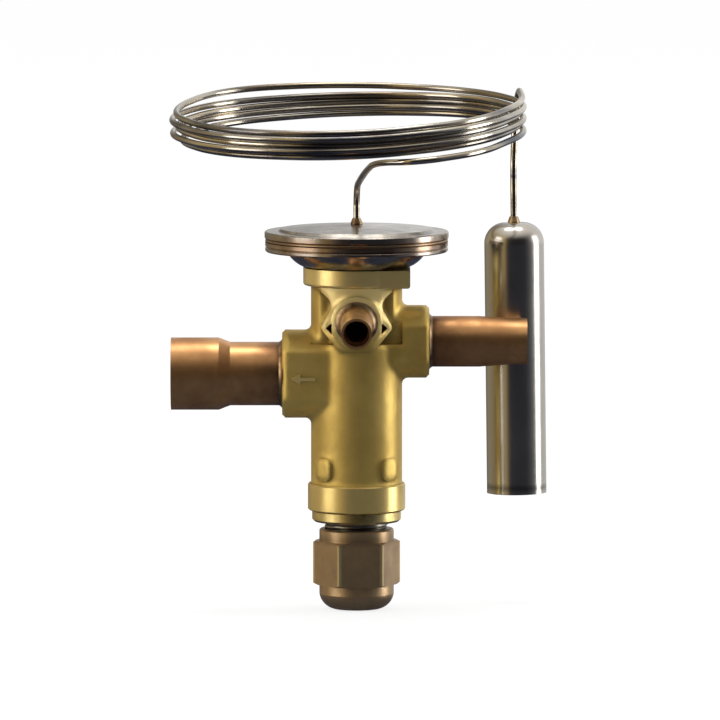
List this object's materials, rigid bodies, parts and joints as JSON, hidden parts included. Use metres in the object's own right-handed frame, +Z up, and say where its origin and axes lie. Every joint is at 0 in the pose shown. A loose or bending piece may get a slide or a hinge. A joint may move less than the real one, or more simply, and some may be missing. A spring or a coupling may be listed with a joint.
{
  "type": "thermostatic expansion valve",
  "caption": "Thermostatic expansion valve with soldered ports, external equalizer, coiled capillary and sensing bulb, that meters refrigerant into an evaporator.",
  "frame": {"origin": "centre of the outlet socket's mouth", "axes": "+X from the outlet towards the inlet, +Z up the spindle towards the power head; the equalizer points to -Y"},
  "size_m": [0.0945, 0.0891, 0.1298],
  "materials": {
    "forged_brass": "satin, forged and shot-blasted",
    "turned_brass": "fine turned",
    "cap_brass": "milled, slightly browned",
    "copper": "drawn copper, heat-tinted",
    "braze_alloy": "brazed",
    "stainless_cover": "pressed, satin",
    "stainless_tube": "drawn, bright",
    "stainless_bulb": "polished",
    "weld_bead": "heat-tinted weld",
    "strainer_mesh": "perforated",
    "hard_steel": "ground",
    "spring_steel": "drawn",
    "seal_rubber": "moulded",
    "seal_plastic": "turned"
  },
  "bodies": {
    "valve": {"valve_body": "forged_brass", "outlet_tube": "copper", "inlet_tube": "copper", "equalizer_tube": "copper", "outlet_braze": "braze_alloy", "inlet_braze": "braze_alloy", "equalizer_braze": "braze_alloy", "inlet_strainer": "strainer_mesh", "seat_insert": "hard_steel", "pin_guide": "turned_brass", "pin_seal": "seal_rubber", "lower_cover": "stainless_cover", "diaphragm": "stainless_cover", "upper_cover": "stainless_cover", "rim_weld": "weld_bead", "capillary_ferrule": "braze_alloy", "capillary_tube": "stainless_tube", "bulb_ferrule": "braze_alloy", "bulb_shell": "stainless_bulb", "bulb_end_cap": "stainless_bulb", "spindle_gland": "turned_brass", "gland_seal": "seal_rubber", "spindle_packing": "seal_plastic", "packing_nut": "turned_brass", "superheat_spring": "spring_steel"},
    "needle": {"thrust_plate": "hard_steel", "push_pin": "hard_steel", "valve_cone": "hard_steel", "spring_cap": "turned_brass"},
    "seat": {"spring_seat": "turned_brass"},
    "spindle": {"adjusting_spindle": "hard_steel"},
    "cap_washer": {"cap_gasket": "seal_plastic"},
    "cap": {"cap_nut": "cap_brass"}
  },
  "joints": [
    {"name": "needle_stroke", "type": "slide", "parent": "valve", "child": "needle", "axis": [0, 0, -1], "range_m": [0, 0.0008], "stiffness_N_per_m": 2000, "springref_m": -0.002, "deforming": ["superheat_spring"]},
    {"name": "spindle_turn", "type": "hinge", "parent": "valve", "child": "spindle", "pos_m": [0.0464, 0, -0.03], "axis": [0, 0, -1], "range_deg": [-722, 722]},
    {"name": "seat_travel", "type": "slide", "parent": "valve", "child": "seat", "axis": [0, 0, 1], "range_m": [-0.0016, 0.0016], "deforming": ["superheat_spring"]},
    {"name": "cap_lift", "type": "slide", "parent": "valve", "child": "cap_washer", "axis": [0, 0, -1], "range_m": [0, 0.012]},
    {"name": "cap_turn", "type": "hinge", "parent": "cap_washer", "child": "cap", "pos_m": [0.0464, 0, -0.05], "axis": [0, 0, -1], "range_deg": [0, 2885]}
  ],
  "couplings": [
    {"joint": "spindle_turn", "follows": "seat_travel", "rad_per_m": 7854},
    {"joint": "cap_turn", "follows": "cap_lift", "rad_per_m": 4188.8}
  ]
}
